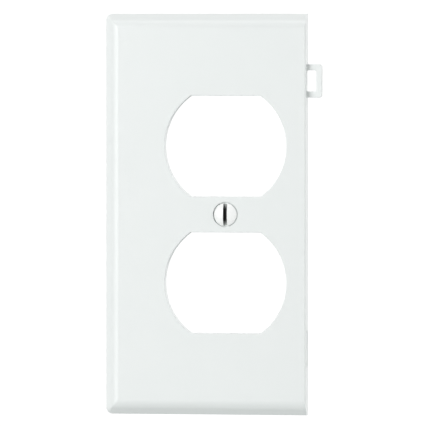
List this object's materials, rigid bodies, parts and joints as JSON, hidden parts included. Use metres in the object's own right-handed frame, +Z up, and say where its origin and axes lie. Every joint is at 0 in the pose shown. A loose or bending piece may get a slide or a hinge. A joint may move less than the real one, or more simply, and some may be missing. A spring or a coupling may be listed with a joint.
{
  "type": "sectional duplex receptacle wall plate",
  "caption": "Shallow moulded end wall plate with two duplex receptacle openings, an interlock tab on its joining side and an oval-head screw.",
  "frame": {"origin": "where the screw's axis meets the wall, at the plane of the plate's rear rim", "axes": "+Z up, -Y out of the wall towards the viewer, +X towards the side that joins the next plate; +Y along the screw into the wall"},
  "size_m": [0.0623, 0.0137, 0.1142],
  "materials": {
    "moulded_nylon": "white nylon moulding, smooth and softly glossy",
    "enamelled_steel": "white baked enamel over steel, glossy"
  },
  "bodies": {
    "panel": {"end_panel": "moulded_nylon"},
    "screw": {"plate_screw": "enamelled_steel"}
  },
  "joints": [
    {"name": "screw_turn", "type": "hinge", "parent": "panel", "child": "screw", "pos_m": [0, 0, 0], "axis": [0, 1, 0], "continuous": true}
  ]
}
